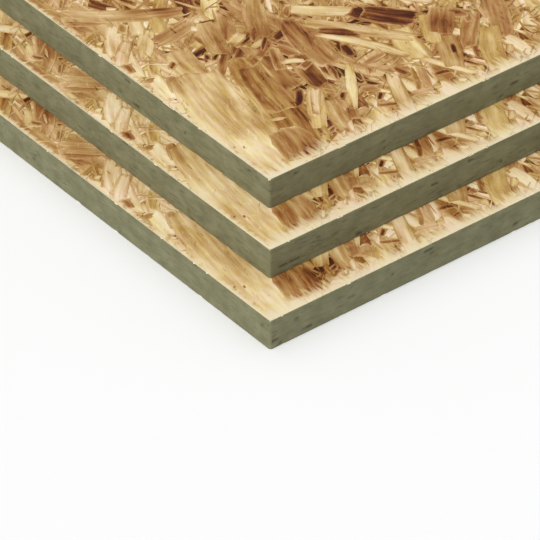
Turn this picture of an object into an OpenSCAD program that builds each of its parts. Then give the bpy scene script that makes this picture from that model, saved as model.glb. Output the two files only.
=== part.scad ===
// A stack of oriented strand board panels, each set back from the one below it.
// Units are millimetres. +Z is up, the panels' length runs along Y and their width along X.
// The origin is at the middle of the stack's footprint, on the surface that it lies on.

/* [Panel] */
// Length of a panel, along Y
panel_length = 2440; // [1200:10:3050]
// Width of a panel, along X
panel_width = 1220; // [600:10:1250]
// Thickness of a panel
panel_thickness = 18; // [9:0.5:30]

/* [Sawn edges] */
// Radius of the four upright corners
corner_radius = 1.5; // [0.8:0.1:6]
// Width of the worn bevel along the upper and lower arrises
arris_bevel = 0.4; // [0.1:0.1:0.7]

/* [Stack] */
// How far each panel lies back from the one below, along X
step_across = 22; // [0:1:80]
// How far each panel lies back from the one below, along Y
step_along = 28; // [0:1:80]

/* [Hidden] */
$fn = 48;
NODES = ["panel_bottom", "panel_middle", "panel_top"];
panel_colour = "#cfa66b";
steps = len(NODES) - 1;
stack_width = panel_width + steps * step_across;
stack_length = panel_length + steps * step_along;

// Upright section through a panel that is span wide, with its four arrises bevelled.
module sawn_section(span) {
    polygon([
        [arris_bevel, 0],
        [span - arris_bevel, 0],
        [span, arris_bevel],
        [span, panel_thickness - arris_bevel],
        [span - arris_bevel, panel_thickness],
        [arris_bevel, panel_thickness],
        [0, panel_thickness - arris_bevel],
        [0, arris_bevel]
    ]);
}

// Round post that fills one upright corner, bevelled to match the sawn section.
module corner_post() {
    rotate_extrude()
        polygon([
            [0, 0],
            [corner_radius - arris_bevel, 0],
            [corner_radius, arris_bevel],
            [corner_radius, panel_thickness - arris_bevel],
            [corner_radius - arris_bevel, panel_thickness],
            [0, panel_thickness]
        ]);
}

// One pressed panel, sawn square, with its near lower corner at the origin.
module sheet() {
    union() {
        translate([corner_radius, 0, 0])
            rotate([90, 0, 90])
                linear_extrude(panel_width - 2 * corner_radius)
                    sawn_section(panel_length);
        translate([0, panel_length - corner_radius, 0])
            rotate([90, 0, 0])
                linear_extrude(panel_length - 2 * corner_radius)
                    sawn_section(panel_width);
        for (x = [corner_radius, panel_width - corner_radius])
            for (y = [corner_radius, panel_length - corner_radius])
                translate([x, y, 0]) corner_post();
    }
}

// The panel that lies on level others, set back by that many steps.
module stacked_panel(level) {
    color(panel_colour)
        translate([
            level * step_across - stack_width / 2,
            level * step_along - stack_length / 2,
            level * panel_thickness
        ])
            sheet();
}

module panel_bottom() { stacked_panel(0); }
module panel_middle() { stacked_panel(1); }
module panel_top() { stacked_panel(2); }

panel_bottom();
panel_middle();
panel_top();
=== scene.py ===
import math

import bmesh
import bpy
import numpy as np
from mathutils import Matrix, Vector, noise


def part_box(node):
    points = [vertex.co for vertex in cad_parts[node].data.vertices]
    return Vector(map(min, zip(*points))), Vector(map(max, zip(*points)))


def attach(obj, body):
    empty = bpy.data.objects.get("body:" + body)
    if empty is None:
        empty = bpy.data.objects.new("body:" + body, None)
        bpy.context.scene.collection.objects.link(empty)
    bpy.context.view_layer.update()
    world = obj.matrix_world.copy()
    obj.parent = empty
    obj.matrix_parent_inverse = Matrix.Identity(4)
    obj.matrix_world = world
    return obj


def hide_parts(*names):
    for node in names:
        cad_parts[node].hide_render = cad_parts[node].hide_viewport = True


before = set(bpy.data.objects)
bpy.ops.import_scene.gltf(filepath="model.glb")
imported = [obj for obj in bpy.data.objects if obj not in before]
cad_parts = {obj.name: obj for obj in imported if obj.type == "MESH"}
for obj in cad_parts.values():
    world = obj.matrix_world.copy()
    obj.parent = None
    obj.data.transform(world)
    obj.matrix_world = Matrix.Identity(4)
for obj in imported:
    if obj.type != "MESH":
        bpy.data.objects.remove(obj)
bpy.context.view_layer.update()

mm = 0.001
panelNodes = sorted(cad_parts, key=lambda node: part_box(node)[0].z)      # lowest first
print("frame loaded:", panelNodes)


def deselectAll():
    if bpy.context.mode != "OBJECT":
        bpy.ops.object.mode_set(mode="OBJECT")
    bpy.ops.object.select_all(action="DESELECT")


def makeActive(thing):
    deselectAll()
    thing.select_set(True)
    bpy.context.view_layer.objects.active = thing


def selectVertices(thing, wanted):
    # picks the vertices of the object in edit mode by their place
    mesh = bmesh.from_edit_mesh(thing.data)
    for vertex in mesh.verts:
        vertex.select = wanted(vertex.co)
    mesh.select_flush(True)
    mesh.select_flush(False)
    bmesh.update_edit_mesh(thing.data)


def selectFaces(thing, wanted):
    mesh = bmesh.from_edit_mesh(thing.data)
    for edge in mesh.edges:
        edge.select = False
    for vertex in mesh.verts:
        vertex.select = False
    for face in mesh.faces:
        face.select_set(wanted(face))
    bmesh.update_edit_mesh(thing.data)


def hexToLinear(code):
    channels = [int(code[i:i + 2], 16) / 255 for i in (1, 3, 5)]
    return [c / 12.92 if c <= 0.04045 else ((c + 0.055) / 1.055) ** 2.4 for c in channels] + [1.0]


def addNode(tree, kind, settings=None, inputs=None, stops=None):
    # settings belong to the node itself, an input takes a value or the socket that feeds it
    node = tree.nodes.new("ShaderNode" + kind)
    for key, value in (settings or {}).items():
        setattr(node, key, value)
    for key, value in (inputs or {}).items():
        if isinstance(value, bpy.types.NodeSocket):
            tree.links.new(value, node.inputs[key])
        else:
            node.inputs[key].default_value = value
    if stops:
        ramp = node.color_ramp
        while len(ramp.elements) < len(stops):
            ramp.elements.new(0.5)
        for element, (place, colour) in zip(ramp.elements, stops):
            element.position = place
            element.color = hexToLinear(colour)
    return node


def newMaterial(name):
    material = bpy.data.materials.new(name)
    material.use_nodes = True
    tree = material.node_tree
    shader = tree.nodes["Principled BSDF"]
    return material, tree, shader


# Aspen and pine strands hot-pressed with resin and wax: streaky, nearly matt, blending where they meet
woodLook = {
    "tones": [
        (0.00, "#3E1D0F"), (0.10, "#4E260E"), (0.19, "#72401B"), (0.30, "#9A6A39"), (0.43, "#B28D59"),
        (0.55, "#C9AB7A"), (0.67, "#DCC49A"), (0.79, "#E9D8B6"), (1.00, "#F7EEDB"),
    ],
    "toneSpan": (-0.15, 1.28),     # tones that the ramp runs over
    "tints": [(0.0, "#FFF2EE"), (0.5, "#FFFAEC"), (1.0, "#FFFBD6")],
    "tintDrift": 2.0,         # how far the patches shift the tint
    "common": 0.54,           # the tone in which strands blend where they meet
    "softRim": 2.2,           # mm over which a strand takes its own tone
    "rimKeeps": 0.12,         # share of its own tone that it keeps at its very rim
    "fray": 3.5,              # mm that the fibres lengthen or shorten that
    "rimWidth": 0.55,         # mm of painted shade in the crevice along it
    # rimShade and creviceShadeColour give the painted shade in the crevices between strands
    "rimShade": 0.40,
    "creviceShadeColour": "#4A2610",
    "gaping": (0.52, 0.66),   # values of breaks between which that shade comes in
    "patterns": {             # name: (runs with the strand, size in mm, turn in degrees, detail)
        "streaks": (True, (24, 2.4, 1), 0, 3),
        "fibres": (True, (12, 1.5, 1), 0, 2),      # real fibres are 0.03 mm, drawn as coarse as shows
        "blotches": (True, (34, 5.5, 1), 0, 4),
        "drift": (False, (26, 38, 60), 0, 3),      # heat and resin darken the face in patches
        "breaks": (False, (5, 7, 5), 0, 2),
        "combAcross": (False, (12, 2.6, 10), 0, 3),
        "combAlong": (False, (1.7, 14, 10), 0, 3),
        "flecksA": (False, (9, 1.6, 2), 62, 2),    # loose fibre pressed in, each lot at its own angle
        "flecksB": (False, (8, 1.4, 2), 118, 2),
        "flecksC": (False, (10, 1.5, 2), 84, 2),
        "flecksD": (False, (8, 1.3, 2), 38, 2),
    },
    "toneMix": {"streaks": 0.55, "fibres": 0.14, "blotches": 1.00, "drift": 0.95},
    "flecks": {               # pattern: (least value that shows, change of tone)
        "flecksA": (0.64, 0.16), "flecksB": (0.66, 0.16),
        "flecksC": (0.65, -0.30), "flecksD": (0.67, -0.32),
    },
    "fleckRim": 0.08,         # rise of the value over which a fleck comes in
    "borderTone": 1.04,
    "borderColour": "#E6DFC4",
    "borderWash": 0.6,        # how far that hides the strand's own colour
    "borderAcross": 3.2,      # mm of pale torn fibre along the long edges
    "borderAlong": 10.0,      # mm of it along the short edges, where the strands are cut across
    "borderComb": 2.8,        # how many times that the longest fibre reaches
    "borderSolid": 0.15,      # share of it with no wood between the fibres
    "borderStrength": 0.85,
    "paintedLightReach": 32,          # mm over which painted light pales the face along the long edges
    "paintedLightPale": 0.16,
    "roughness": (0.62, 0.80),
    "bump": 0.3,
    "bumpDepth": 0.35,        # mm
}


def pressedStrandWood(look):
    material, tree, shader = newMaterial("pressedStrandWood")
    onPanel = addNode(tree, "TexCoord").outputs["Object"]
    onStrand = addNode(tree, "UVMap", {"uv_map": "grain"}).outputs["UV"]        # mm along and across it
    marks = addNode(tree, "Attribute", {"attribute_name": "strandTone"}).outputs["Vector"]
    gaps = addNode(tree, "Attribute", {"attribute_name": "edgeGap"}).outputs["Vector"]
    ownTone, tint, rimGap = addNode(tree, "SeparateXYZ", inputs={0: marks}).outputs
    gapAcross, gapAlong = addNode(tree, "SeparateXYZ", inputs={0: gaps}).outputs[:2]
    pattern = {}
    for name, (withStrand, size, turn, detail) in look["patterns"].items():
        unit = 1 if withStrand else mm
        placed = addNode(tree, "Mapping", {"vector_type": "TEXTURE"}, {
            "Vector": onStrand if withStrand else onPanel,
            "Rotation": (0, 0, math.radians(turn)),
            "Scale": [unit * side for side in size],
        })
        pattern[name] = addNode(tree, "TexNoise", inputs={
            "Vector": placed.outputs[0], "Scale": 1.0, "Detail": detail, "Roughness": 0.55,
        }).outputs["Fac"]

    # a strand's own tone comes in from its frayed rim, and streaks, stains and loose fibre shift it
    frayed = addNode(tree, "Math", {"operation": "MULTIPLY_ADD"},
                     {0: pattern["fibres"], 1: look["fray"], 2: -look["fray"] / 2})
    within = addNode(tree, "Math", {"operation": "ADD"}, {0: frayed.outputs[0], 1: rimGap})
    keep = addNode(tree, "MapRange", {"interpolation_type": "SMOOTHSTEP"},
                   {"Value": within.outputs[0], "From Max": look["softRim"],
                    "To Min": look["rimKeeps"]})
    tone = addNode(tree, "Mix", inputs={0: keep.outputs[0], 2: look["common"], 3: ownTone}).outputs[0]
    for name, amount in look["toneMix"].items():
        centred = addNode(tree, "Math", {"operation": "MULTIPLY_ADD"},
                          {0: pattern[name], 1: amount, 2: -amount / 2})
        tone = addNode(tree, "Math", {"operation": "ADD"}, {0: tone, 1: centred.outputs[0]}).outputs[0]
    for name, (least, change) in look["flecks"].items():
        fleck = addNode(tree, "MapRange", inputs={
            "Value": pattern[name], "From Min": least, "From Max": least + look["fleckRim"],
            "To Max": change})
        tone = addNode(tree, "Math", {"operation": "ADD"}, {0: tone, 1: fleck.outputs[0]}).outputs[0]
    # painted light: the face is paler towards the long edges
    paintedLight = addNode(tree, "MapRange", inputs={
        "Value": gapAcross, "From Max": look["paintedLightReach"], "To Min": look["paintedLightPale"], "To Max": 0.0})
    tone = addNode(tree, "Math", {"operation": "ADD"}, {0: tone, 1: paintedLight.outputs[0]}).outputs[0]

    # pale torn fibre along the sawn edges, combed the way that the saw crossed it
    washes = []
    for gap, comb, reach in ((gapAcross, "combAcross", look["borderAcross"]),
                             (gapAlong, "combAlong", look["borderAlong"])):
        combed, solid = look["borderComb"] * reach, look["borderSolid"] * reach
        width = addNode(tree, "Math", {"operation": "MULTIPLY_ADD"},
                        {0: pattern[comb], 1: combed, 2: -2 * solid})
        width = addNode(tree, "Math", {"operation": "MAXIMUM"}, {0: width.outputs[0], 1: 2 * solid})
        share = addNode(tree, "MapRange", inputs={
            "Value": gap, "From Min": solid, "From Max": width.outputs[0],
            "To Min": look["borderStrength"], "To Max": 0.0})
        tone = addNode(tree, "Mix", inputs={0: share.outputs[0], 2: tone, 3: look["borderTone"]}).outputs[0]
        washes.append(addNode(tree, "Math", {"operation": "MULTIPLY"},
                              {0: share.outputs[0], 1: look["borderWash"]}))
    lowest, highest = look["toneSpan"]
    placeOnRamp = addNode(tree, "MapRange", inputs={"Value": tone, "From Min": lowest, "From Max": highest})
    wood = addNode(tree, "ValToRGB", inputs={"Fac": placeOnRamp.outputs[0]}, stops=look["tones"])
    shift = addNode(tree, "Math", {"operation": "MULTIPLY_ADD"},
                    {0: pattern["breaks"], 1: look["tintDrift"], 2: -look["tintDrift"] / 2})
    shifted = addNode(tree, "Math", {"operation": "ADD"}, {0: tint, 1: shift.outputs[0]})
    cast = addNode(tree, "ValToRGB", inputs={"Fac": shifted.outputs[0]}, stops=look["tints"])
    colour = addNode(tree, "Mix", {"data_type": "RGBA", "blend_type": "MULTIPLY"},
                     {0: 1.0, 6: wood.outputs[0], 7: cast.outputs[0]}).outputs[2]
    for wash in washes:
        colour = addNode(tree, "Mix", {"data_type": "RGBA"},
                         {0: wash.outputs[0], 6: colour, 7: hexToLinear(look["borderColour"])}).outputs[2]

    # painted shade in the crevice round a strand comes and goes
    crevice = addNode(tree, "MapRange", inputs={
        "Value": rimGap, "From Max": look["rimWidth"], "To Min": look["rimShade"], "To Max": 0.0})
    shut, agape = look["gaping"]
    gaping = addNode(tree, "MapRange", inputs={
        "Value": pattern["breaks"], "From Min": shut, "From Max": agape})
    share = addNode(tree, "Math", {"operation": "MULTIPLY"}, {0: crevice.outputs[0], 1: gaping.outputs[0]})
    colour = addNode(tree, "Mix", {"data_type": "RGBA"},
                     {0: share.outputs[0], 6: colour, 7: hexToLinear(look["creviceShadeColour"])}).outputs[2]
    tree.links.new(colour, shader.inputs["Base Color"])

    # wax leaves little gloss, and less of it between the fibres
    low, high = look["roughness"]
    rough = addNode(tree, "MapRange", inputs={"Value": pattern["fibres"], "To Min": low, "To Max": high})
    tree.links.new(rough.outputs[0], shader.inputs["Roughness"])
    shader.inputs["IOR"].default_value = 1.47
    shader.inputs["Specular IOR Level"].default_value = 0.2
    height = addNode(tree, "Math", {"operation": "ADD"}, {0: pattern["streaks"], 1: pattern["fibres"]})
    sunk = addNode(tree, "Math", {"operation": "SUBTRACT"}, {0: height.outputs[0], 1: crevice.outputs[0]})
    bump = addNode(tree, "Bump", inputs={
        "Height": sunk.outputs[0], "Strength": look["bump"], "Distance": look["bumpDepth"] * mm})
    tree.links.new(bump.outputs["Normal"], shader.inputs["Normal"])
    return material


# Sawn strand ends under a sprayed olive edge sealer: dead matt, gritty, thin over the pores
sealLook = {
    "paint": [(0.30, "#6E6C50"), (0.5, "#777558"), (0.70, "#807E61")],
    "patterns": {             # name: (length, height in mm, detail)
        "patches": (9, 6, 4),
        "courses": (22, 1.4, 3),       # the pressed strands show as thin level lines
        "stains": (8, 2.4, 3),
        "pores": (8, 0.7, 4),
        "grit": (0.9, 0.6, 2),
    },
    "courseShade": (0.93, 1.05),
    "marks": {                # pattern: (value where it starts, value where it is full, how strong)
        "stains": (0.56, 0.74, 0.6),
        "pores": (0.60, 0.70, 0.65),
    },
    "stain": "#585B42",
    # pores and pits are painted dark: partly the wood under thin seal, partly painted shade in the holes
    "poreAndPitShade": "#3F3C28",
    "gritShare": 0.4,         # how far the grit stands out beside the courses
    "roughness": 0.85,
    "bump": 0.35,
    "bumpDepth": 0.3,         # mm
}


def sealedSawnEdge(look):
    material, tree, shader = newMaterial("sealedSawnEdge")
    place = addNode(tree, "TexCoord").outputs["Object"]
    pit = addNode(tree, "Attribute", {"attribute_name": "pit"}).outputs["Fac"]
    pattern = {}
    for name, (length, height, detail) in look["patterns"].items():
        placed = addNode(tree, "Mapping", {"vector_type": "TEXTURE"},
                         {"Vector": place, "Scale": (length * mm, length * mm, height * mm)})
        pattern[name] = addNode(tree, "TexNoise", inputs={
            "Vector": placed.outputs[0], "Scale": 1.0, "Detail": detail, "Roughness": 0.55,
        }).outputs["Fac"]
    paint = addNode(tree, "ValToRGB", inputs={"Fac": pattern["patches"]}, stops=look["paint"])
    thin, thick = look["courseShade"]
    shade = addNode(tree, "MapRange", inputs={
        "Value": pattern["courses"], "From Min": 0.3, "From Max": 0.7, "To Min": thin, "To Max": thick})
    colour = addNode(tree, "VectorMath", {"operation": "SCALE"},
                     {0: paint.outputs[0], "Scale": shade.outputs[0]}).outputs[0]
    marks = {}
    for name, (least, most, strength) in look["marks"].items():
        marks[name] = addNode(tree, "MapRange", inputs={
            "Value": pattern[name], "From Min": least, "From Max": most, "To Max": strength}).outputs[0]
    # pits and pores take the dark colour: painted shade in the sunk pits and voids, partly wood under thin
    # seal
    holes = addNode(tree, "Math", {"operation": "MAXIMUM"}, {0: marks["pores"], 1: pit})
    for share, below in ((marks["stains"], look["stain"]), (holes.outputs[0], look["poreAndPitShade"])):
        colour = addNode(tree, "Mix", {"data_type": "RGBA"},
                         {0: share, 6: colour, 7: hexToLinear(below)}).outputs[2]
    tree.links.new(colour, shader.inputs["Base Color"])
    shader.inputs["Roughness"].default_value = look["roughness"]
    shader.inputs["IOR"].default_value = 1.45
    shader.inputs["Specular IOR Level"].default_value = 0.3
    height = addNode(tree, "Math", {"operation": "MULTIPLY_ADD"},
                     {0: pattern["grit"], 1: look["gritShare"], 2: pattern["courses"]})
    bump = addNode(tree, "Bump", inputs={
        "Height": height.outputs[0], "Strength": look["bump"], "Distance": look["bumpDepth"] * mm})
    tree.links.new(bump.outputs["Normal"], shader.inputs["Normal"])
    return material


# Lower strands seen only through the gaps, coloured dark brown as painted shade in those gaps, and the sawn
# rim that frames the face
bedLook = {
    # the bed's dark brown is painted shade in the gaps between the face strands
    "bedInPaintedShade": {"stops": [(0.3, "#6B4426"), (0.7, "#9C7345")], "size": (3, 14, 3)},
    "sawnStrandRim": {"stops": [(0.3, "#CDB688"), (0.6, "#EBDDB6")], "size": (1.2, 1.2, 1.2)},
}


def grainedWood(name, look):
    material, tree, shader = newMaterial(name)
    place = addNode(tree, "Mapping", {"vector_type": "TEXTURE"}, {
        "Vector": addNode(tree, "TexCoord").outputs["Object"],
        "Scale": [side * mm for side in look["size"]],
    })
    grain = addNode(tree, "TexNoise", inputs={"Vector": place.outputs[0], "Scale": 1.0, "Detail": 3.0})
    colour = addNode(tree, "ValToRGB", inputs={"Fac": grain.outputs["Fac"]}, stops=look["stops"])
    tree.links.new(colour.outputs[0], shader.inputs["Base Color"])
    shader.inputs["Roughness"].default_value = 0.75
    shader.inputs["Specular IOR Level"].default_value = 0.2
    bump = addNode(tree, "Bump", inputs={
        "Height": grain.outputs["Fac"], "Strength": 0.4, "Distance": 0.2 * mm})
    tree.links.new(bump.outputs["Normal"], shader.inputs["Normal"])
    return material


strandWood = pressedStrandWood(woodLook)
edgeSeal = sealedSawnEdge(sealLook)
shadedBed, sawnRim = [grainedWood(name, look) for name, look in bedLook.items()]
print("finishes made")


boardLook = {
    "cornerRadius": 1.5,      # mm, as are all sizes here
    "cornerSteps": 5,
    "arris": 0.35,            # worn bevel round both faces
    "rimWidth": 0.4,
    "faceDepth": 0.95,        # how deep the pressed strands lie in the faces
    "courses": 12,            # rows of faces up a sawn side
    "coarseCut": 10,          # longest face along a side
    "fineCut": 1.3,           # the same within fineReach of the near corner
    "fineReach": 330,
    "wave": 0.05,             # how far the sawn side wanders
    "waveSize": (31, 7),      # length and height of it
    "pitDepth": 0.45,
    "pitSize": (13, 1.3),
    "pitLimit": {"ends": 0.60, "sides": 0.74},     # a higher one leaves fewer pits
    "pitRim": 0.22,
    # how dark a pit is painted: painted shade in the sunk pit
    "pitShade": 0.8,
    "nick": 0.504,            # how far the arris is broken away
    "nickSize": 5.5,
}


def halveEdges(board, longest, low, reach):
    # cuts every edge of the outline in two until none is longer than asked
    while True:
        mesh = bmesh.from_edit_mesh(board.data)
        found = 0
        for edge in mesh.edges:
            middle = (edge.verts[0].co + edge.verts[1].co) / 2
            near = max(middle.x - low.x, middle.y - low.y) < reach
            edge.select_set(near and edge.calc_length() > longest)
            found += edge.select
        bmesh.update_edit_mesh(board.data)
        if not found:
            return
        bpy.ops.mesh.subdivide(number_cuts=1)


def modelBoard(name, node, look):
    low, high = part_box(node)
    arris = look["arris"] * mm
    deselectAll()
    bpy.ops.mesh.primitive_plane_add(size=1, location=(0, 0, 0))
    board = bpy.context.active_object
    board.name = name
    board.data.name = name
    bpy.ops.object.mode_set(mode="EDIT")
    bpy.ops.mesh.select_mode(type="VERT")
    bpy.ops.mesh.select_all(action="SELECT")
    bpy.ops.transform.resize(value=(high.x - low.x, high.y - low.y, 1))
    bpy.ops.transform.translate(value=((low.x + high.x) / 2, (low.y + high.y) / 2, low.z + arris))
    bpy.ops.mesh.bevel(offset=look["cornerRadius"] * mm, segments=look["cornerSteps"], affect="VERTICES")

    # only the outline is cut up, then it is filled again
    bpy.ops.mesh.select_all(action="SELECT")
    bpy.ops.mesh.delete(type="ONLY_FACE")
    halveEdges(board, look["coarseCut"] * mm, low, math.inf)
    halveEdges(board, look["fineCut"] * mm, low, look["fineReach"] * mm)
    bpy.ops.mesh.select_all(action="SELECT")
    bpy.ops.mesh.edge_face_add()
    bpy.ops.mesh.normals_make_consistent(inside=False)

    # the sides rise course by course, then each face gets its bevel, rim and recess
    rise = (high.z - low.z - 2 * arris) / look["courses"]
    for course in range(look["courses"]):
        bpy.ops.mesh.extrude_region_move(TRANSFORM_OT_translate={"value": (0, 0, rise)})
    bpy.ops.mesh.select_mode(type="FACE")
    bpy.ops.mesh.select_all(action="SELECT")
    bpy.ops.mesh.normals_make_consistent(inside=False)
    for level, sink in ((high.z - arris, -1), (low.z + arris, 1)):
        selectFaces(board, lambda face: abs(face.normal.z) > 0.9
                    and abs(face.calc_center_median().z - level) < 1e-5)
        bpy.ops.mesh.inset(thickness=arris, depth=arris)
        bpy.ops.mesh.inset(thickness=look["rimWidth"] * mm, depth=0)
        bpy.ops.mesh.extrude_region_move(
            TRANSFORM_OT_translate={"value": (0, 0, sink * look["faceDepth"] * mm)})
    bpy.ops.mesh.select_all(action="SELECT")
    bpy.ops.mesh.normals_make_consistent(inside=False)
    bpy.ops.object.mode_set(mode="OBJECT")

    weatherBoard(board, low, high, look)
    board.data.materials.append(edgeSeal)
    board.data.materials.append(sawnRim)
    board.data.materials.append(shadedBed)
    rim = (look["arris"] + look["rimWidth"]) * mm
    for face in board.data.polygons:
        middle = face.center
        inside = min(middle.x - low.x, high.x - middle.x, middle.y - low.y, high.y - middle.y)
        if inside > rim * 0.9:
            face.material_index = 2
        elif inside > look["arris"] * mm and abs(face.normal.z) > 0.6:
            face.material_index = 1
    makeActive(board)
    bpy.ops.object.shade_smooth_by_angle(angle=math.radians(40))
    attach(board, "root")
    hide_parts(node)
    return board


def weatherBoard(board, low, high, look):
    # the saw leaves a slight wave, open pores and a chipped arris
    mesh = board.data
    pits = np.zeros(len(mesh.vertices), np.float32)
    arris = look["arris"] * mm
    halfway = (low.z + high.z) / 2
    waveLength, waveHeight = look["waveSize"]
    pitLength, pitHeight = look["pitSize"]
    for vertex in mesh.vertices:
        p = vertex.co
        gaps = (p.x - low.x, high.x - p.x, p.y - low.y, high.y - p.y)
        side = min(range(4), key=lambda i: gaps[i])
        inward = (Vector((1, 0, 0)), Vector((-1, 0, 0)), Vector((0, 1, 0)), Vector((0, -1, 0)))[side]
        along = (p.y if side < 2 else p.x) / mm
        up = (p.z - low.z) / mm
        seed = side * 37.0 + low.z * 900         # each side of each board gets its own
        if gaps[side] < 1e-6 and arris * 1.5 < p.z - low.z < high.z - low.z - arris * 1.5:
            wave = noise.noise(Vector((along / waveLength, up / waveHeight, seed))) + 0.9
            poreAndPitShade = noise.fractal(Vector((along / pitLength, up / pitHeight, seed + 11)), 0.7, 2.3, 3)
            limit = look["pitLimit"]["sides" if side < 2 else "ends"]
            pit = min(1.0, max(0.0, (poreAndPitShade - limit) / look["pitRim"]))
            # the pit is also kept to paint shade into it
            pits[vertex.index] = pit * look["pitShade"]
            vertex.co += inward * (wave * look["wave"] + pit * look["pitDepth"]) * mm
        elif gaps[side] < arris * 1.2:
            # the arris line itself
            chip = noise.noise(Vector((along / look["nickSize"], seed + 5, up / 20)))
            depth = look["nick"] * max(0.0, chip - 0.05)
            vertex.co += inward * depth * mm
            if gaps[side] > arris * 0.5:
                vertex.co.z += (-1 if p.z > halfway else 1) * depth * 0.5 * mm
    mesh.attributes.new("pit", "FLOAT", "POINT").data.foreach_set("value", pits)


for node in panelNodes:
    board = modelBoard(node.split("_")[1] + "Board", node, boardLook)
    print(node, "board", len(board.data.polygons), "faces")


strandTaper = 2.2             # the higher, the nearer to its ends a strand narrows

# each shape is a unit strand: 1 long on X, 1 wide on Y, its skirt reaching down to Z -1
# the near corner takes finely cut ones, the rest of the faces plain ones of the same outline
strandShapes = {
    "wafer": {"fine": (7, 3), "plain": (4, 2), "copies": 5, "pinch": 0.15, "splinter": 0.06, "fray": 0.035},
    "torn": {"fine": (8, 4), "plain": (3, 2), "copies": 6, "pinch": 0.28, "splinter": 0.11, "fray": 0.045},
    "leaf": {"fine": (8, 2), "plain": (4, 2), "copies": 6, "pinch": 0.70, "splinter": 0.08, "fray": 0.07},
    "chip": {"fine": (3, 2), "plain": (2, 2), "copies": 8, "pinch": 0.25, "splinter": 0.20, "fray": 0.08},
    "sliver": {"fine": (5, 1), "plain": (3, 1), "copies": 4, "pinch": 0.80, "splinter": 0.04, "fray": 0.12},
}


def modelStrand(kind, number, look, cut):
    deselectAll()
    columns, rows = look[cut]
    bpy.ops.mesh.primitive_grid_add(x_subdivisions=columns, y_subdivisions=rows, size=1)
    strand = bpy.context.active_object
    strand.name = f"{kind}{number}"
    bpy.ops.object.mode_set(mode="EDIT")
    bpy.ops.mesh.select_mode(type="VERT")
    # narrower towards the ends, one end more than the other
    for column in range(columns + 1):
        x = column / columns - 0.5
        bias = 0.5 if x > 0 else 1.0
        width = 1 - look["pinch"] * bias * (abs(2 * x) ** strandTaper)
        selectVertices(strand, lambda p: abs(p.x - x) < 0.01)
        bpy.ops.transform.resize(value=(1, width, 1), center_override=(x, 0, 0))
    # sides split along the grain, ends torn across it
    selectVertices(strand, lambda p: abs(p.x) < 0.49)
    bpy.ops.transform.vertex_random(offset=look["fray"], seed=number * 7 + 1)
    selectVertices(strand, lambda p: abs(p.x) > 0.49)
    bpy.ops.transform.vertex_random(offset=look["splinter"], seed=number * 7 + 2)
    # the skirt closes the strand down to what it lies on, and is a little wider there
    bpy.ops.mesh.select_all(action="SELECT")
    bpy.ops.transform.resize(value=(1, 1, 0.4))          # pressed flatter
    bpy.ops.mesh.region_to_loop()
    bpy.ops.mesh.extrude_edges_move(TRANSFORM_OT_translate={"value": (0, 0, -1)})
    bpy.ops.transform.resize(value=(1.004, 1.02, 1))
    bpy.ops.mesh.select_all(action="SELECT")
    bpy.ops.mesh.normals_make_consistent(inside=False)
    bpy.ops.mesh.quads_convert_to_tris()
    bpy.ops.object.mode_set(mode="OBJECT")
    mesh = strand.data
    points = np.zeros(len(mesh.vertices) * 3)
    mesh.vertices.foreach_get("co", points)
    points = points.reshape(-1, 3)
    faces = np.zeros(len(mesh.polygons) * 3, int)
    mesh.polygons.foreach_get("vertices", faces)
    faces = faces.reshape(-1, 3)
    top = points[:, 2] > -0.5
    # the outline of the top is where top and skirt share a face
    mixed = faces[top[faces].any(1) & ~top[faces].all(1)]
    outline = np.zeros(len(points), bool)
    outline[mixed.ravel()] = True
    outline &= top
    lowered = np.cross(points[faces[:, 1]] - points[faces[:, 0]], points[faces[:, 2]] - points[faces[:, 0]])
    if lowered[top[faces].all(1), 2].mean() < 0:
        faces = faces[:, ::-1]
    bpy.data.objects.remove(strand)
    return {"points": points, "faces": faces, "top": top, "outline": outline}


shapes = {cut: {kind: [modelStrand(kind, i, look, cut) for i in range(look["copies"])]
                for kind, look in strandShapes.items()} for cut in ("fine", "plain")}
for cut, kinds in shapes.items():
    triangles = {kind: len(made[0]["faces"]) for kind, made in kinds.items()}
    print(cut, "strand shapes:", triangles, "triangles each")


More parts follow.
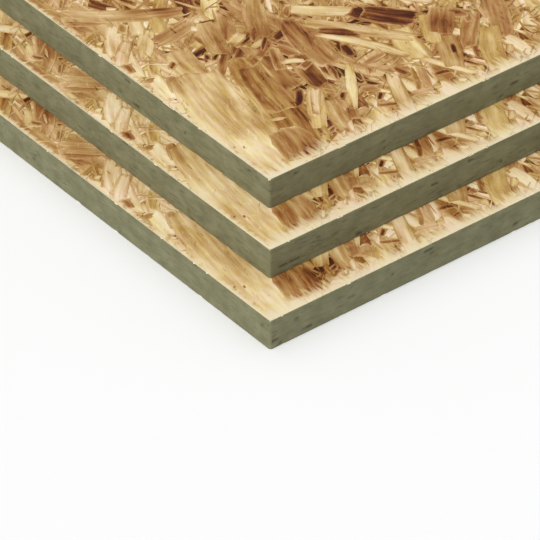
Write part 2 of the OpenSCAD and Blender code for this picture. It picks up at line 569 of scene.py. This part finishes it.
# All places are in millimetres from the panel's near corner, X across it and Y along it.
# x, y, length, width, angle from the X axis, tone from 0 (dark) to 1 (cream), tint, kind
cornerStrands = [
    (117, 66, 50, 7.5, 119, 0.88, 0.6, "leaf"),
    (77, 77, 11, 4.5, 150, 0.88, 0.4, "chip"),
    (80, 70, 10, 5.5, 20, 0.02, 0.4, "chip"),
    (72, 84, 22, 7, 64, 0.30, 0.3, "torn"),
    (78, 65, 32, 13, 76, 0.16, 0.3, "torn"),
    (65, 74, 34, 11, 80, 0.20, 0.5, "torn"),
    (87, 40, 40, 6, 56, 0.84, 0.8, "leaf"),
    (87, 56, 16, 4.5, 72, 0.12, 0.1, "leaf"),
    (8, 31, 2.5, 1.5, 70, 0.10, 0.5, "chip"),
    (4, 34, 2, 1.5, 40, 0.12, 0.5, "chip"),
    (58, 48, 16, 5.5, 50, 0.08, 0, "leaf"),
    (66, 44, 32, 5.5, 52, 0.84, 0.1, "torn"),
    (60, 36, 36, 10, 55, 0.74, 0.8, "torn"),
    (48, 18, 9, 3, 72, 0.08, 0.5, "chip"),
    (63, 12, 10, 3.5, 62, 0.92, 0.2, "chip"),
    (38, 40, 9, 2.5, 160, 0.85, 0.7, "sliver"),
    (34, 57, 32, 3, 79, 0.84, 0.7, "sliver"),
    (31, 18, 28, 22, 74, 0.34, 0.4, "torn"),
    (50, 66, 46, 19, 76, 0.32, 0.7, "torn"),
    (46, 50, 92, 24, 76, 0.34, 0.8, "torn"),
    (17, 47, 106, 34, 81, 0.64, 0.6, "torn"),
    (8, 76, 28, 1.2, 53, 0.14, 0.5, "sliver"),
    (19, 73, 24, 1.3, 121, 0.16, 0.5, "sliver"),
    (28, 72, 28, 7, 123, 0.88, 0.8, "leaf"),
    (17, 86, 24, 10, 60, 0.86, 0.7, "torn"),
    (77, 36, 7, 3.5, 42, 0.10, 0.5, "chip"),
    (93, 32, 10, 6.5, 150, 0.24, 0, "chip"),
    (113, 83, 22, 8.5, 130, 0.06, 0, "leaf"),
    (144, 79, 30, 17, 128, 0.14, 0, "torn"),
    (136, 86, 22, 12, 115, 0.08, 0, "torn"),
    (123, 78, 60, 10, 128, 0.68, 0.5, "torn"),
    (106, 67, 13, 6.5, 75, 0.10, 0.1, "leaf"),
    (163, 58, 26, 15, 50, 0.38, 0.2, "torn"),
    (174, 58, 11, 7.5, 140, 0.14, 0.1, "chip"),
    (177, 52, 10, 5.5, 60, 0.22, 0, "chip"),
    (153, 55, 28, 10, 60, 0.76, 0.8, "torn"),
    (135, 52, 32, 15, 70, 0.74, 0.9, "torn"),
    (132, 48, 7, 3, 165, 0.10, 0.5, "chip"),
    (151, 33, 10, 3, 60, 0.06, 0.4, "chip"),
    (148, 33, 30, 13, 62, 0.56, 0.5, "torn"),
    (132, 20, 10, 4.5, 170, 0.18, 0.3, "chip"),
    (133, 12, 6, 2, 5, 0.14, 0.5, "chip"),
    (138, 25, 36, 5.5, 115, 0.84, 0.6, "leaf"),
    (112, 52, 15, 4.5, 2, 0.24, 0.2, "leaf"),
    (81, 86, 16, 8.5, 108, 0.26, 0, "leaf"),
    (95, 86, 46, 19, 80, 0.32, 0.1, "torn"),
    (77, 110, 14, 4.5, 50, 0.14, 0.3, "leaf"),
    (75, 99, 13, 3, 45, 0.12, 0.3, "leaf"),
    (67, 112, 11, 8.5, 20, 0.84, 0.6, "chip"),
    (57, 120, 32, 12, 70, 0.44, 0.4, "torn"),
    (63, 134, 13, 5, 165, 0.12, 0.4, "leaf"),
    (57, 131, 10, 4.5, 135, 0.90, 0.5, "chip"),
    (70, 135, 18, 1.3, 62, 0.14, 0.4, "sliver"),
    (45, 138, 28, 10, 8, 0.38, 0.2, "torn"),
    (42, 148, 15, 8.5, 60, 0.54, 1, "chip"),
    (34, 167, 62, 12, 146, 0.48, 0.3, "torn"),
    (14, 176, 22, 10, 150, 0.28, 0.1, "chip"),
    (12, 169, 12, 1.4, 95, 0.14, 0.4, "sliver"),
    (25, 157, 9, 5.5, 50, 0.14, 0.5, "chip"),
    (33, 156, 21, 8, 60, 0.88, 0.6, "torn"),
    (5, 125, 9, 5.5, 75, 0.22, 0, "chip"),
    (25, 113, 7, 4.5, 35, 0.08, 0.6, "chip"),
    (31, 106, 36, 16, 82, 0.64, 0.5, "torn"),
    (44, 108, 5, 3, 60, 0.14, 0.5, "chip"),
    (14, 99, 15, 5.5, 62, 0.42, 0.3, "torn"),
    (11, 138, 24, 8, 45, 0.84, 0.2, "torn"),
    (14, 150, 30, 10, 55, 0.86, 0.4, "torn"),
    (8, 127, 26, 9, 70, 0.82, 0.5, "torn"),
    (26, 138, 26, 9, 50, 0.80, 0.6, "torn"),
    (48, 99, 32, 5.5, 42, 0.36, 0.3, "leaf"),
    (55, 102, 24, 1.3, 40, 0.16, 0.4, "sliver"),
    (64, 24, 28, 10, 70, 0.66, 0.5, "torn"),
    (71, 20, 11, 6.5, 60, 0.32, 0.2, "chip"),
    (65, 21, 6.5, 2.5, 60, 0.14, 0.4, "chip"),
    (101, 16, 42, 8.5, 66, 0.78, 0.4, "torn"),
    (92, 14, 14, 3, 150, 0.26, 0, "leaf"),
    (168, 21, 42, 13, 58, 0.62, 0.9, "torn"),
    (190, 42, 40, 13, 60, 0.38, 0.1, "torn"),
    (170, 42, 32, 10, 45, 0.38, 0.1, "torn"),
    (95, 102, 28, 7, 12, 0.18, 0.1, "torn"),
    (104, 116, 11, 4.5, 48, 0.12, 0.3, "leaf"),
    (69, 124, 26, 9, 60, 0.34, 0.3, "torn"),
    (100, 132, 6.5, 3, 50, 0.12, 0.4, "chip"),
    (87, 121, 38, 13, 60, 0.46, 0.5, "torn"),
    (119, 105, 36, 10, 138, 0.80, 0.6, "torn"),
    (84, 92, 20, 6, 108, 0.24, 0.0, "leaf"),
    (70, 94, 26, 5, 30, 0.26, 0.1, "torn"),
    (112, 92, 22, 8, 100, 0.30, 0.1, "torn"),
    (46, 135, 24, 7, 14, 0.34, 0.1, "torn"),
    (74, 57, 10, 7, 80, 0.30, 0.0, "chip"),
    (8, 100, 24, 9, 78, 0.90, 0.6, "torn"),
    (22, 62, 22, 5, 128, 0.90, 0.7, "leaf"),
]

# what fills the rest: lengths and widths in mm, spread of the angle, usual tone, share of dark ones
fillMix = {
    "angle": 76,              # the face strands lie roughly along the panel
    "toneSpread": 0.27,
    "darkTones": (0.06, 0.30),
    "kinds": {
        "sliver": {"length": (6, 28), "width": (0.8, 2.0), "spread": 44, "tone": 0.80, "dark": 0.42},
        "chip": {"length": (4, 13), "width": (2.0, 5.5), "spread": 55, "tone": 0.62, "dark": 0.30},
        "leaf": {"length": (12, 42), "width": (3, 8), "spread": 38, "tone": 0.60, "dark": 0.10},
        "torn": {"length": (22, 62), "width": (6, 14), "spread": 30, "tone": 0.56, "dark": 0.08},
        "wafer": {"length": (60, 130), "width": (12, 30), "spread": 22, "tone": 0.56, "dark": 0.08},
    },
    "cornerReach": 250,       # mm, the near corner is laid finely
    "cornerMargin": 60,       # mm past it that its strands may reach
    "cornerOverlap": 15,      # mm that the rest of the face laps over it
    "faceMargin": 30,
    "cornerSeed": 41,         # the same press, so the same near corner on each panel
    "underSeed": 90,
    "tuck": 3,                # mm that strands go on under the next panel
    "cornerGrid": {           # cell in mm, areas that have to show in square mm
        "cell": 0.5, "least": 1.2, "deepest": 34,
        "patches": 260, "patchRounds": 3, "patchLeast": 1.0, "patchDeepest": 36,
    },
    "faceGrid": {
        "cell": 2.0, "least": 16, "deepest": 33,
        "patches": 900, "patchRounds": 2, "patchLeast": 16, "patchDeepest": 36,
    },
    "cornerLayers": [         # uppermost first: how many are tried, share of each kind
        (900, {"sliver": 0.65, "chip": 0.35}),
        (1250, {"sliver": 0.2, "chip": 0.25, "leaf": 0.35, "torn": 0.2}),
        (2000, {"leaf": 0.4, "torn": 0.6}),
    ],
    "faceLayers": [           # the same for the rest of a face, tried on each square metre
        (750, {"sliver": 0.5, "chip": 0.5}),
        (320, {"leaf": 0.55, "torn": 0.45}),
        (2600, {"wafer": 0.62, "torn": 0.30, "leaf": 0.08}),
    ],
    "underLayers": [          # the underside is laid more plainly
        (60, {"leaf": 0.5, "torn": 0.5}),
        (1150, {"wafer": 0.88, "torn": 0.12}),
    ],
    "toneGroups": {           # the rest of the top face is split by tone, so that no piece is too big
        "Brown": (-1, 0.42), "Honey": (0.42, 0.64), "Pale": (0.64, 2),
    },
}

# where the near corner runs paler or browner: x, y, radius in mm, change of tone
toneDrifts = [
    (10, 140, 40, 0.16), (22, 80, 30, 0.06), (60, 105, 26, -0.12), (88, 76, 34, -0.34),
    (100, 44, 20, -0.14), (110, 12, 45, 0.06),
]


def drawStrands(rng, shares, count, area, drifts):
    # short and narrow strands are the commoner ones
    x0, y0, x1, y1 = area
    made = []
    for kind in rng.choice(list(shares), size=count, p=list(shares.values())):
        look = fillMix["kinds"][kind]
        shortest, longest = look["length"]
        narrowest, widest = look["width"]
        length = shortest + (longest - shortest) * rng.random() ** 1.5
        width = narrowest + (widest - narrowest) * rng.random() ** 1.4
        x, y = rng.uniform(x0, x1), rng.uniform(y0, y1)
        angle = fillMix["angle"] + rng.normal() * look["spread"]
        tone = rng.normal(look["tone"], fillMix["toneSpread"])
        if rng.random() < look["dark"]:
            tone = rng.uniform(*fillMix["darkTones"])
        for cx, cy, radius, change in drifts:
            tone += change * math.exp(-((x - cx) ** 2 + (y - cy) ** 2) / radius ** 2)
        made.append((x, y, length, width, angle, min(max(tone, 0), 0.95), rng.random(), kind))
    return made


layingRules = {
    "coreLength": 0.94,       # share of a strand's length and width that surely covers what is below it
    "coreWidth": 0.90,
    "touch": 1.2,             # cells past its outline in which it still touches another
    "broad": 8,               # mm, a strand at least that wide needs more room to show
    "broadNeeds": 3,
    "leastShare": 0.1,        # share of a strand that has to show
}


def layStrands(candidates, size, cell, exposed, least, deepest, already=(), rules=layingRules):
    # works from the top layer down: a strand is kept where it still shows, one layer below all it meets
    cols, rows = (int(math.ceil(s / cell)) for s in size)
    covered = np.ones((rows, cols), bool)
    for x0, y0, x1, y1 in exposed:
        covered[int(y0 / cell):int(math.ceil(y1 / cell)), int(x0 / cell):int(math.ceil(x1 / cell))] = False
    cells = max(1, int((~covered).sum()))
    depth = np.zeros((rows, cols), np.int16)
    laid = []
    for order, strand in enumerate(list(already) + list(candidates)):
        x, y, length, width, angle = strand[:5]
        reach = math.hypot(length, width) / 2 + cell
        c0, c1 = max(0, int((x - reach) / cell)), min(cols, int((x + reach) / cell) + 1)
        r0, r1 = max(0, int((y - reach) / cell)), min(rows, int((y + reach) / cell) + 1)
        if c0 >= c1 or r0 >= r1:
            continue
        dx = ((np.arange(c0, c1) + 0.5) * cell - x)[None, :]
        dy = ((np.arange(r0, r1) + 0.5) * cell - y)[:, None]
        ca, sa = math.cos(math.radians(angle)), math.sin(math.radians(angle))
        along = np.abs(dx * ca + dy * sa) * 2 / length
        across = np.abs(dy * ca - dx * sa) * 2 / width
        pinch = strandShapes[strand[7]]["pinch"]
        core = (along < rules["coreLength"]) & (
            across < rules["coreWidth"] * (1 - pinch * along ** strandTaper))
        touch = rules["touch"] * cell
        meets = (along < 1 + touch / length) & (across < 1 + touch / width)
        if order >= len(already):
            shows = int((core & ~covered[r0:r1, c0:c1]).sum())
            needed = least * (1 if width < rules["broad"] else rules["broadNeeds"])
            if shows * cell * cell < needed or shows < rules["leastShare"] * core.sum():
                continue
            level = int(depth[r0:r1, c0:c1][meets].max(initial=0)) + 1
            if level > deepest:
                continue
            laid.append(strand + (level,))
        else:
            level = strand[8]
        covered[r0:r1, c0:c1] |= core
        window = depth[r0:r1, c0:c1]
        window[meets] = np.maximum(window[meets], level)
    bare = np.argwhere(~covered)
    return laid, bare * cell, len(bare) / cells


def layAndPatch(rng, queue, size, exposed, grid, already=()):
    # after the layers, short strands are dropped on spots that are still bare
    cell = grid["cell"]
    laid, bare, share = layStrands(queue, size, cell, exposed, grid["least"], grid["deepest"], already)
    for patchRound in range(grid["patchRounds"]):
        spots = bare[rng.permutation(len(bare))[:grid["patches"]]]
        drawn = drawStrands(rng, {"leaf": 0.5, "torn": 0.5}, len(spots), (0, 0, 1, 1), [])
        patches = [(float(spot[1]), float(spot[0])) + strand[2:] for spot, strand in zip(spots, drawn)]
        more, bare, share = layStrands(patches, size, cell, exposed, grid["patchLeast"],
                                       grid["patchDeepest"], list(already) + laid)
        laid += more
    print("  laid", len(laid), "strands, bare share", round(share, 4))
    return laid


def fillCorner(rng, exposed):
    # the near corner is laid finely, with its own strands first
    reach = fillMix["cornerReach"]
    nearExposed = [(x0, y0, min(x1, reach), min(y1, reach)) for x0, y0, x1, y1 in exposed]
    queue = list(cornerStrands)
    for count, shares in fillMix["cornerLayers"]:
        queue += drawStrands(rng, shares, count, (0, 0, reach, reach), toneDrifts)
    side = reach + fillMix["cornerMargin"]
    return layAndPatch(rng, queue, (side, side), nearExposed, fillMix["cornerGrid"])


def fillFace(rng, size, exposed, layers, nearby=()):
    margin = fillMix["faceMargin"]
    queue = []
    for count, shares in layers:
        for x0, y0, x1, y1 in exposed:
            field = (x0 - margin, y0 - margin, x1 + margin, y1 + margin)
            area = (field[2] - field[0]) * (field[3] - field[1]) * mm * mm
            queue += drawStrands(rng, shares, int(count * area), field, [])
    if nearby:
        start = fillMix["cornerReach"] - fillMix["cornerOverlap"]
        queue = [strand for strand in queue if max(strand[0], strand[1]) > start]
    return layAndPatch(rng, queue, size, exposed, fillMix["faceGrid"], nearby)


layerLook = {
    "skin": 0.02,             # mm that the uppermost strands lie below the board's face
    "step": 0.025,            # mm from one layer to the next
    "thickness": 0.65,        # mm, a strand's own
    "tilt": 0.012,
    "bow": 0.05,              # share of its length that a strand may curve aside
    "relief": 0.25,           # mm of unevenness for each unit of the shape's own
    "inRim": 0.3,             # mm from the rim that a point inside the outline has at least
    "skirtRim": -0.5,
    "fullShade": 6,           # mm, a strand narrower than that has a narrower painted shade at its rim
    "overRim": 0.02,          # mm that the strands lap over the board's rim
    "bakeCell": 2.6,          # how many times longer than wide a strand's place in the bake map is
    "bakeTop": 0.86 / 1.16,   # share of that place that the top takes, and that the skirt takes
    "bakeSkirt": 0.96 / 1.16,
}


def makeStrandPiece(name, laid, low, high, upward, cut, look=layerLook):
    # one joined mesh: every strand is a copy of a modelled shape, stretched, bent and pressed in place
    points, faces, tones, grains, bakes = [], [], [], [], []
    start = 0
    columns = max(1, int(round(math.sqrt(len(laid) / look["bakeCell"]))))
    lines = int(math.ceil(len(laid) / columns))
    face = high.z if upward else low.z
    facing = 1 if upward else -1
    bed = boardLook["faceDepth"]
    for index, (x, y, length, width, angle, tone, tint, kind, level) in enumerate(laid):
        rng = np.random.default_rng(int(abs(x * 97 + y * 131 + length * 17) * 10))    # one seed a place
        shape = shapes[cut][kind][rng.integers(len(shapes[cut][kind]))]
        unit = shape["points"]
        flip = rng.choice((-1, 1), 2)
        ux, uy = unit[:, 0] * flip[0], unit[:, 1] * flip[1]
        bow = rng.normal() * look["bow"] * length
        alongMm = ux * length
        acrossMm = uy * width + bow * (0.33 - 4 * ux ** 2) * 0.5      # both ends bend to one side
        ca, sa = math.cos(math.radians(angle)), math.sin(math.radians(angle))
        sunk = look["skin"] + look["step"] * level
        tilt = rng.uniform(-1, 1, 2) * look["tilt"]
        z = -sunk - np.abs(tilt[0]) - np.abs(tilt[1]) + ux * tilt[0] * 2 + uy * tilt[1] * 2
        relief = np.where(shape["top"], -np.abs(unit[:, 2]) * look["relief"], 0)
        skirt = np.where(shape["top"], 0, look["thickness"])
        z = np.clip(z + relief - skirt, -bed, -look["skin"])
        px = low.x / mm + x + alongMm * ca - acrossMm * sa
        py = low.y / mm + y + alongMm * sa + acrossMm * ca
        points.append(np.stack([px * mm, py * mm, face + facing * z * mm], 1))
        winding = shape["faces"] if flip[0] * flip[1] * facing > 0 else shape["faces"][:, ::-1]
        faces.append(winding + start)
        start += len(unit)
        rim = np.minimum((0.5 - np.abs(unit[:, 0])) * length, (0.5 - np.abs(unit[:, 1])) * width)
        inside = np.maximum(rim, look["inRim"])
        rim = np.where(shape["outline"], 0, np.where(shape["top"], inside, look["skirtRim"]))
        rim *= max(1, look["fullShade"] / width)
        tones.append(np.stack([np.full(len(unit), tone), np.full(len(unit), tint), rim], 1))
        offset = rng.uniform(0, 900, 2)
        grains.append(np.stack([alongMm + offset[0], uy * width + offset[1]], 1))
        grow = np.where(shape["top"], look["bakeTop"], look["bakeSkirt"])
        cellX, cellY = index % columns, index // columns
        bakes.append(np.stack([(cellX + 0.5 + unit[:, 0] * grow) / columns,
                               (cellY + 0.5 + unit[:, 1] * grow) / lines], 1))
    points, faces = np.concatenate(points), np.concatenate(faces)
    mesh = bpy.data.meshes.new(name)
    mesh.from_pydata(points, [], faces)
    mesh.attributes.new("strandTone", "FLOAT_VECTOR", "POINT").data.foreach_set(
        "vector", np.concatenate(tones).astype(np.float32).ravel())
    for layer, values in (("grain", grains), ("OFBake", bakes)):
        uv = mesh.uv_layers.new(name=layer)
        uv.data.foreach_set("uv", np.concatenate(values)[faces.ravel()].astype(np.float32).ravel())
    piece = bpy.data.objects.new(name, mesh)
    bpy.context.scene.collection.objects.link(piece)

    # trimmed to the rim of the board
    makeActive(piece)
    bpy.ops.object.mode_set(mode="EDIT")
    trim = (boardLook["arris"] + boardLook["rimWidth"] - look["overRim"]) * mm
    near, far = low + Vector((trim, trim, 0)), high - Vector((trim, trim, 0))
    for spot, normal in ((near, (-1, 0, 0)), (near, (0, -1, 0)), (far, (1, 0, 0)), (far, (0, 1, 0))):
        bpy.ops.mesh.select_all(action="SELECT")
        bpy.ops.mesh.bisect(plane_co=spot, plane_no=normal, clear_outer=True)
    bpy.ops.object.mode_set(mode="OBJECT")
    mesh = piece.data
    ends = np.zeros(len(mesh.vertices) * 3)
    mesh.vertices.foreach_get("co", ends)
    ends = ends.reshape(-1, 3) / mm
    gapX = np.minimum(ends[:, 0] - low.x / mm, high.x / mm - ends[:, 0])
    gapY = np.minimum(ends[:, 1] - low.y / mm, high.y / mm - ends[:, 1])
    mesh.attributes.new("edgeGap", "FLOAT_VECTOR", "POINT").data.foreach_set(
        "vector", np.stack([gapX, gapY, gapX * 0], 1).astype(np.float32).ravel())
    mesh.materials.append(strandWood)
    makeActive(piece)
    bpy.ops.object.shade_smooth_by_angle(angle=math.radians(30))
    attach(piece, "root")
    print(" ", name, len(laid), "strands,", len(mesh.polygons), "faces")


def layTop(number, node, short):
    low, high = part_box(node)
    width, length = (high.x - low.x) / mm, (high.y - low.y) / mm
    uppermost = node == panelNodes[-1]
    if uppermost:
        exposed = [(0, 0, width, length)]
    else:
        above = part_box(panelNodes[number + 1])[0]
        stepX = (above.x - low.x) / mm + fillMix["tuck"]
        stepY = (above.y - low.y) / mm + fillMix["tuck"]
        exposed = [(0, 0, stepX, length), (0, 0, width, stepY)]
    rng = np.random.default_rng(fillMix["cornerSeed"])
    nearby = fillCorner(rng, exposed)
    across = fillFace(rng, (width, length), exposed, fillMix["faceLayers"], nearby)
    makeStrandPiece(short + "CornerStrands", nearby, low, high, True, "fine")
    if not uppermost:
        makeStrandPiece(short + "StepStrands", across, low, high, True, "plain")
        return
    for group, (floor, ceiling) in fillMix["toneGroups"].items():
        chosen = [strand for strand in across if floor <= strand[5] < ceiling]
        makeStrandPiece(short + group + "Strands", chosen, low, high, True, "plain")


def layUnderside(number, node, short):
    # it shows all over on the lowest panel, and past the panel below on the others
    low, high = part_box(node)
    width, length = (high.x - low.x) / mm, (high.y - low.y) / mm
    if number == 0:
        exposed = [(0, 0, width, length)]
    else:
        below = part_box(panelNodes[number - 1])[1]
        overX = (high.x - below.x) / mm + fillMix["tuck"]
        overY = (high.y - below.y) / mm + fillMix["tuck"]
        exposed = [(width - overX, 0, width, length), (0, length - overY, width, length)]
    rng = np.random.default_rng(fillMix["underSeed"] + number)
    across = fillFace(rng, (width, length), exposed, fillMix["underLayers"])
    makeStrandPiece(short + "UnderStrands", across, low, high, False, "plain")


for number, node in enumerate(panelNodes):
    short = node.split("_")[1]
    layTop(number, node, short)
    layUnderside(number, node, short)
print("strands laid")


# Matt white seamless paper: an even pale ground with only a soft shadow on it
def makeFloor():
    deselectAll()
    bpy.ops.mesh.primitive_grid_add(x_subdivisions=4, y_subdivisions=4, size=400, location=(0, 0, 0))
    floor = bpy.context.active_object
    floor.name = "studioFloor"
    material, tree, shader = newMaterial("paleSeamlessPaper")
    shader.inputs["Base Color"].default_value = hexToLinear("#F7F7F7")
    shader.inputs["Roughness"].default_value = 0.9
    floor.data.materials.append(material)


lightLook = {
    "skyStrength": 0.60,
    "keyStrength": 2.15,      # a broad lamp far off, so that the whole stack is lit alike
    "keySpread": 35,          # degrees
    "keyFrom": (-0.72, -0.20, 0.68),
}


def makeLight(look):
    world = bpy.data.worlds.new("studio")
    bpy.context.scene.world = world
    world.use_nodes = True
    background = world.node_tree.nodes["Background"]
    background.inputs["Color"].default_value = (1, 1, 1, 1)
    background.inputs["Strength"].default_value = look["skyStrength"]
    bpy.ops.object.light_add(type="SUN")
    key = bpy.context.active_object
    key.name = "softKey"
    key.data.energy = look["keyStrength"]
    key.data.angle = math.radians(look["keySpread"])
    key.rotation_euler = Vector(look["keyFrom"]).to_track_quat("Z", "Y").to_euler()


cameraLook = {
    "turn": -38.46,           # degrees round from looking along +Y
    "rise": 37.8,
    "distance": 2.261,        # metres from the lowest panel's near corner
    "lens": 300,
    "aimAbove": 0.0404,       # how far above that corner the camera aims, in its own picture
}


def makeCamera(look):
    turn, rise = math.radians(look["turn"]), math.radians(look["rise"])
    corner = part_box(panelNodes[0])[0]
    back = Vector((math.sin(turn) * math.cos(rise), -math.cos(turn) * math.cos(rise), math.sin(rise)))
    right = Vector((math.cos(turn), math.sin(turn), 0))
    aim = corner + back.cross(right) * look["aimAbove"]
    bpy.ops.object.camera_add()
    camera = bpy.context.active_object
    camera.name = "cornerView"
    camera.location = corner + back * look["distance"]
    camera.rotation_euler = (camera.location - aim).to_track_quat("Z", "Y").to_euler()
    camera.data.lens = look["lens"]
    camera.data.sensor_width = 36
    camera.data.clip_start = 0.05
    camera.data.clip_end = 200
    bpy.context.scene.camera = camera


makeFloor()
makeLight(lightLook)
makeCamera(cameraLook)
bpy.context.scene.view_settings.view_transform = "Standard"
print("floor, light and camera set")
